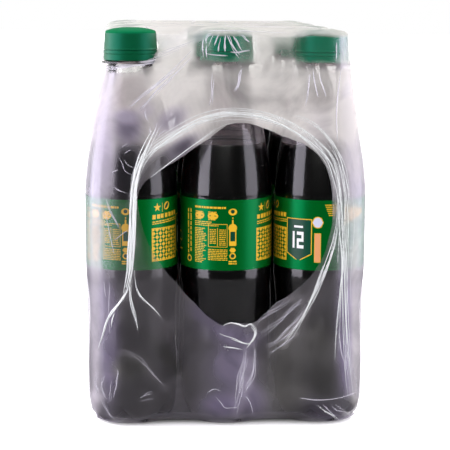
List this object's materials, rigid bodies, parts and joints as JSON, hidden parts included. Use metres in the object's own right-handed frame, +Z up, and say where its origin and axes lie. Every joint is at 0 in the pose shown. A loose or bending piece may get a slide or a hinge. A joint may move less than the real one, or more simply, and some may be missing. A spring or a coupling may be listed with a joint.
{
  "type": "shrink-wrapped bottle pack",
  "caption": "Multipack of small dark soft drink bottles with green caps and labels in a clear shrink film sleeve, open at each end.",
  "frame": {"origin": "on the ground, under the middle of the pack's box", "axes": "+X to the right across the three columns, +Y from the front row to the back row, +Z up"},
  "size_m": [0.1664, 0.2158, 0.2244],
  "materials": {
    "bottle": "clear blown PET, glossy",
    "drink": "nearly black brown cola drink, red where it is thin",
    "label": "green printed film label with plain yellow shapes",
    "cap": "moulded green polyethylene, satin",
    "film": "clear shrink film with a milky haze, creases and a gathered edge"
  },
  "bodies": {
    "root": {"bottle_1_left": "bottle", "drink_1_left": "drink", "label_1_left": "label", "cap_1_left": "cap", "bottle_1_centre": "bottle", "drink_1_centre": "drink", "label_1_centre": "label", "cap_1_centre": "cap", "bottle_1_right": "bottle", "drink_1_right": "drink", "label_1_right": "label", "cap_1_right": "cap", "bottle_2_left": "bottle", "drink_2_left": "drink", "label_2_left": "label", "cap_2_left": "cap", "bottle_2_centre": "bottle", "drink_2_centre": "drink", "label_2_centre": "label", "cap_2_centre": "cap", "bottle_2_right": "bottle", "drink_2_right": "drink", "label_2_right": "label", "cap_2_right": "cap", "bottle_3_left": "bottle", "drink_3_left": "drink", "label_3_left": "label", "cap_3_left": "cap", "bottle_3_centre": "bottle", "drink_3_centre": "drink", "label_3_centre": "label", "cap_3_centre": "cap", "bottle_3_right": "bottle", "drink_3_right": "drink", "label_3_right": "label", "cap_3_right": "cap", "bottle_4_left": "bottle", "drink_4_left": "drink", "label_4_left": "label", "cap_4_left": "cap", "bottle_4_centre": "bottle", "drink_4_centre": "drink", "label_4_centre": "label", "cap_4_centre": "cap", "bottle_4_right": "bottle", "drink_4_right": "drink", "label_4_right": "label", "cap_4_right": "cap", "film": "film"}
  },
  "joints": []
}
